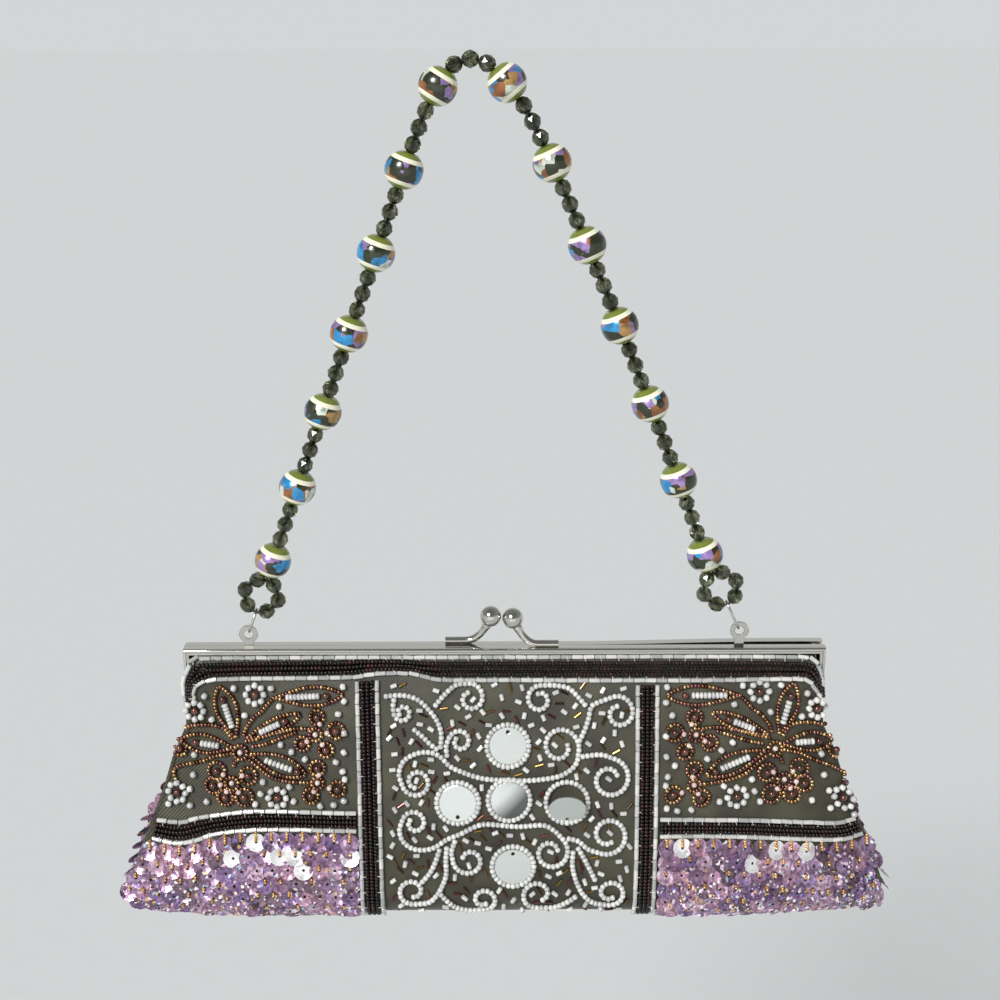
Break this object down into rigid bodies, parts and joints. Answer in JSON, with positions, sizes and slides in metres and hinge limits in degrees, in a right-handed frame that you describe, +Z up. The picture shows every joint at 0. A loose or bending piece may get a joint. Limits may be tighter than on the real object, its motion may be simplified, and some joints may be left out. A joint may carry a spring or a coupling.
{
  "type": "beaded clutch purse",
  "caption": "Kiss-lock frame clutch purse with a flared satin pouch, beaded and sequined front with small mirrors, hanging by a strap of strung glass and inlaid resin beads.",
  "frame": {"origin": "hanging point, on the underside of the strap's top bead, where a hook or finger holds it", "axes": "+Z up along the height as it hangs, front of the purse towards -Y, width along X"},
  "size_m": [0.289, 0.0494, 0.3199],
  "materials": {
    "nickel": "nickel plate, softly polished",
    "satin": "grey-olive satin, embroidered",
    "silver_mirror": "silver foil",
    "smoky_glass": "faceted smoky olive glass",
    "inlaid_resin": "glossy resin with shell chips and ivory rings"
  },
  "bodies": {
    "root": {"frame_front": "nickel", "frame_back": "nickel", "hinge_pin_left": "nickel", "hinge_pin_right": "nickel", "jump_ring_left": "nickel", "jump_ring_right": "nickel", "pouch": "satin", "strap_strand_left": "smoky_glass", "strap_strand_right": "smoky_glass", "mirror_top": "silver_mirror", "mirror_left": "silver_mirror", "mirror_centre": "silver_mirror", "mirror_right": "silver_mirror", "mirror_bottom": "silver_mirror", "bead_left_1": "inlaid_resin", "bead_left_2": "inlaid_resin", "bead_left_3": "inlaid_resin", "bead_left_4": "inlaid_resin", "bead_left_5": "inlaid_resin", "bead_left_6": "inlaid_resin", "bead_left_7": "inlaid_resin", "bead_right_1": "inlaid_resin", "bead_right_2": "inlaid_resin", "bead_right_3": "inlaid_resin", "bead_right_4": "inlaid_resin", "bead_right_5": "inlaid_resin", "bead_right_6": "inlaid_resin", "bead_right_7": "inlaid_resin"}
  },
  "joints": []
}
